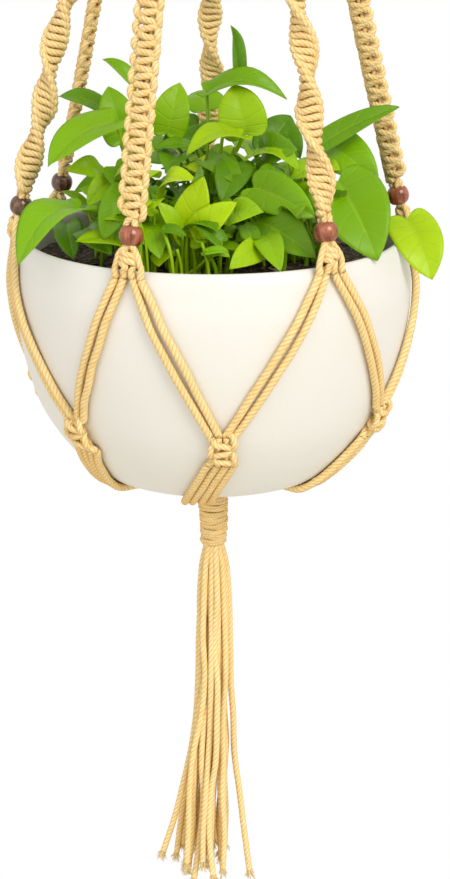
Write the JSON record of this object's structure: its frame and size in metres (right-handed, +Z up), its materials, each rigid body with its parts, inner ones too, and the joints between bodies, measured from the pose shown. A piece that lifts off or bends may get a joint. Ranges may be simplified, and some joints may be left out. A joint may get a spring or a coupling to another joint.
{
  "type": "hanging macrame planter",
  "caption": "Knotted cotton cord hanger with wooden beads and a long tassel, holding a white ceramic bowl with a climbing plant.",
  "frame": {"origin": "the point inside the top of the ring where a hook bears", "axes": "+Z up along the hanging axis, +Y towards the back, -Y towards the viewer, with a square-knotted arm and a spiral arm at the front"},
  "size_m": [0.2372, 0.2296, 0.9189],
  "materials": {
    "ring_wood": "turned beech, clear satin lacquer",
    "cotton_cord": "golden beige twisted cotton cord, matt",
    "cotton_yarn": "golden beige fine cotton yarn, matt",
    "red_bead": "turned wood, reddish brown gloss stain",
    "dark_bead": "turned wood, dark brown gloss stain",
    "glazed_white": "warm white satin glaze",
    "potting_soil": "moist dark potting soil",
    "leaf_green": "waxy bright green leaves"
  },
  "bodies": {
    "ring": {"hanging_ring": "ring_wood"},
    "hanger": {"cord_loops": "cotton_cord", "top_wrap": "cotton_yarn", "front_left_arm": "cotton_cord", "front_left_crown_knot": "cotton_cord", "front_left_pair_a": "cotton_cord", "front_left_pair_b": "cotton_cord", "cradle_knot_1": "cotton_cord", "base_cords_1": "cotton_cord", "front_right_arm": "cotton_cord", "front_right_crown_knot": "cotton_cord", "front_right_pair_a": "cotton_cord", "front_right_pair_b": "cotton_cord", "cradle_knot_2": "cotton_cord", "base_cords_2": "cotton_cord", "right_arm": "cotton_cord", "right_crown_knot": "cotton_cord", "right_pair_a": "cotton_cord", "right_pair_b": "cotton_cord", "cradle_knot_3": "cotton_cord", "base_cords_3": "cotton_cord", "back_arm": "cotton_cord", "back_crown_knot": "cotton_cord", "back_pair_a": "cotton_cord", "back_pair_b": "cotton_cord", "cradle_knot_4": "cotton_cord", "base_cords_4": "cotton_cord", "back_left_arm": "cotton_cord", "back_left_crown_knot": "cotton_cord", "back_left_pair_a": "cotton_cord", "back_left_pair_b": "cotton_cord", "cradle_knot_5": "cotton_cord", "base_cords_5": "cotton_cord", "left_arm": "cotton_cord", "left_crown_knot": "cotton_cord", "left_pair_a": "cotton_cord", "left_pair_b": "cotton_cord", "cradle_knot_6": "cotton_cord", "base_cords_6": "cotton_cord", "base_gather": "cotton_cord", "base_wrap": "cotton_yarn"},
    "bowl": {"pot": "glazed_white", "soil": "potting_soil", "left_stem": "leaf_green", "middle_stem": "leaf_green", "front_stem": "leaf_green", "right_stem": "leaf_green", "back_stem": "leaf_green"},
    "tassel": {"tassel": "cotton_cord"},
    "front_left_bead": {"front_left_bead": "red_bead"},
    "front_right_bead": {"front_right_bead": "red_bead"},
    "right_bead": {"right_bead": "red_bead"},
    "back_bead": {"back_bead": "red_bead"},
    "back_left_bead": {"back_left_bead": "dark_bead"},
    "left_bead": {"left_bead": "dark_bead"}
  },
  "joints": [
    {"name": "hanger_swing", "type": "hinge", "parent": "ring", "child": "hanger", "pos_m": [0, 0, -0.0505], "axis": [1, 0, 0], "range_deg": [-20, 20]},
    {"name": "bowl_turn", "type": "hinge", "parent": "hanger", "child": "bowl", "pos_m": [0, 0, -0.485], "axis": [0, 0, 1], "range_deg": [-5, 5]},
    {"name": "tassel_swing", "type": "hinge", "parent": "hanger", "child": "tassel", "pos_m": [0, 0, -0.6743], "axis": [0, 1, 0], "range_deg": [-20, 20]},
    {"name": "front_left_bead_spin", "type": "hinge", "parent": "hanger", "child": "front_left_bead", "pos_m": [-0.03963, -0.09799, -0.46698], "axis": [0.0911, 0.2303, 0.9688], "continuous": true},
    {"name": "front_right_bead_spin", "type": "hinge", "parent": "hanger", "child": "front_right_bead", "pos_m": [0.05758, -0.08863, -0.46698], "axis": [-0.1339, 0.2084, 0.9688], "continuous": true},
    {"name": "right_bead_spin", "type": "hinge", "parent": "hanger", "child": "right_bead", "pos_m": [0.10467, 0.01468, -0.46698], "axis": [-0.245, -0.0363, 0.9688], "continuous": true},
    {"name": "back_bead_spin", "type": "hinge", "parent": "hanger", "child": "back_bead", "pos_m": [-0.0034, 0.10558, -0.467], "axis": [0.0244, -0.2504, 0.9678], "continuous": true},
    {"name": "back_left_bead_spin", "type": "hinge", "parent": "hanger", "child": "back_left_bead", "pos_m": [-0.08946, 0.0562, -0.46699], "axis": [0.2193, -0.1211, 0.9681], "continuous": true},
    {"name": "left_bead_spin", "type": "hinge", "parent": "hanger", "child": "left_bead", "pos_m": [-0.1041, -0.0183, -0.46698], "axis": [0.2435, 0.046, 0.9688], "continuous": true}
  ]
}
